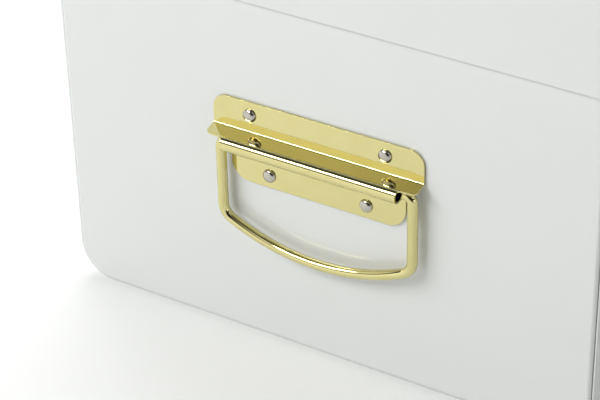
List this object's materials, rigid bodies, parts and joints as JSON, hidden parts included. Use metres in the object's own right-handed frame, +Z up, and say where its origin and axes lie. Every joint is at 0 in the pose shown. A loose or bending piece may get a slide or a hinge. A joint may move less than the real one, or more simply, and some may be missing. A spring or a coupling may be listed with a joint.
{
  "type": "sewing box with trays",
  "caption": "White enamelled steel sewing box with hinged cap lid, sliding divided trays, front draw latches and gilt drop handles on the ends.",
  "frame": {"origin": "middle of the base, on the surface that the box stands on", "axes": "+X along the box's length, -Y to the front with the latches, +Z up"},
  "size_m": [0.4036, 0.2935, 0.237],
  "materials": {
    "white_enamel": "gloss white stove enamel on sheet steel",
    "tray_enamel": "satin warm white enamel on sheet steel",
    "gilt_plate": "bright pale gold plating",
    "nickel_plate": "bright nickel plating"
  },
  "bodies": {
    "case": {"case_end_left": "white_enamel", "case_end_right": "white_enamel", "case_wrap": "white_enamel", "handle_left_plate": "gilt_plate", "handle_left_rivet_1": "nickel_plate", "handle_left_rivet_2": "nickel_plate", "handle_left_rivet_3": "nickel_plate", "handle_left_rivet_4": "nickel_plate", "handle_right_plate": "gilt_plate", "handle_right_rivet_1": "nickel_plate", "handle_right_rivet_2": "nickel_plate", "handle_right_rivet_3": "nickel_plate", "handle_right_rivet_4": "nickel_plate", "hinge_case_rivet_1": "nickel_plate", "hinge_case_rivet_2": "nickel_plate", "hinge_case_rivet_3": "nickel_plate", "hinge_case_rivet_4": "nickel_plate", "hinge_left_case_leaf": "gilt_plate", "hinge_left_pin": "nickel_plate", "hinge_right_case_leaf": "gilt_plate", "hinge_right_pin": "nickel_plate", "latch_left_base": "gilt_plate", "latch_left_pin": "nickel_plate", "latch_right_base": "gilt_plate", "latch_right_pin": "nickel_plate", "lower_rail_left": "white_enamel", "lower_rail_right": "white_enamel", "upper_rail_left": "white_enamel", "upper_rail_right": "white_enamel"},
    "lid": {"hinge_left_lid_leaf": "gilt_plate", "hinge_lid_rivet_1": "nickel_plate", "hinge_lid_rivet_2": "nickel_plate", "hinge_lid_rivet_3": "nickel_plate", "hinge_lid_rivet_4": "nickel_plate", "hinge_right_lid_leaf": "gilt_plate", "latch_left_catch": "gilt_plate", "latch_right_catch": "gilt_plate", "lid_end_left": "white_enamel", "lid_end_right": "white_enamel", "lid_wrap": "white_enamel"},
    "right_bail": {"handle_right_bail": "gilt_plate"},
    "left_bail": {"handle_left_bail": "gilt_plate"},
    "right_latch_lever": {"latch_right_lever": "gilt_plate"},
    "left_latch_lever": {"latch_left_lever": "gilt_plate"},
    "right_latch_loop": {"latch_right_loop": "gilt_plate"},
    "left_latch_loop": {"latch_left_loop": "gilt_plate"},
    "upper_tray": {"upper_tray_cross_divider_1": "tray_enamel", "upper_tray_cross_divider_2": "tray_enamel", "upper_tray_cross_divider_3": "tray_enamel", "upper_tray_long_divider": "tray_enamel", "upper_tray_pan": "tray_enamel"},
    "lower_tray": {"lower_tray_cross_divider_1": "tray_enamel", "lower_tray_cross_divider_2": "tray_enamel", "lower_tray_long_divider": "tray_enamel", "lower_tray_pan": "tray_enamel"}
  },
  "joints": [
    {"name": "lid_hinge", "type": "hinge", "parent": "case", "child": "lid", "pos_m": [0, 0.1431, 0.178], "axis": [-1, 0, 0], "range_deg": [0, 105]},
    {"name": "right_bail_swing", "type": "hinge", "parent": "case", "child": "right_bail", "pos_m": [0.1952, 0, 0.1093], "axis": [0, -1, 0], "range_deg": [0, 85]},
    {"name": "left_bail_swing", "type": "hinge", "parent": "case", "child": "left_bail", "pos_m": [-0.1952, 0, 0.1093], "axis": [0, 1, 0], "range_deg": [0, 85]},
    {"name": "upper_tray_slide", "type": "slide", "parent": "case", "child": "upper_tray", "axis": [0, -1, 0], "range_m": [0, 0.134]},
    {"name": "lower_tray_slide", "type": "slide", "parent": "case", "child": "lower_tray", "axis": [0, 1, 0], "range_m": [0, 0.134]},
    {"name": "right_lever_turn", "type": "hinge", "parent": "case", "child": "right_latch_lever", "pos_m": [0.095, -0.1445, 0.164], "axis": [-1, 0, 0], "range_deg": [0, 90]},
    {"name": "right_loop_turn", "type": "hinge", "parent": "right_latch_lever", "child": "right_latch_loop", "pos_m": [0.095, -0.1432, 0.1575], "axis": [-1, 0, 0], "range_deg": [-90, 0]},
    {"name": "left_lever_turn", "type": "hinge", "parent": "case", "child": "left_latch_lever", "pos_m": [-0.095, -0.1445, 0.164], "axis": [-1, 0, 0], "range_deg": [0, 90]},
    {"name": "left_loop_turn", "type": "hinge", "parent": "left_latch_lever", "child": "left_latch_loop", "pos_m": [-0.095, -0.1432, 0.1575], "axis": [-1, 0, 0], "range_deg": [-90, 0]}
  ],
  "couplings": [
    {"joint": "right_loop_turn", "follows": "right_lever_turn", "ratio": -1},
    {"joint": "left_loop_turn", "follows": "left_lever_turn", "ratio": -1}
  ]
}
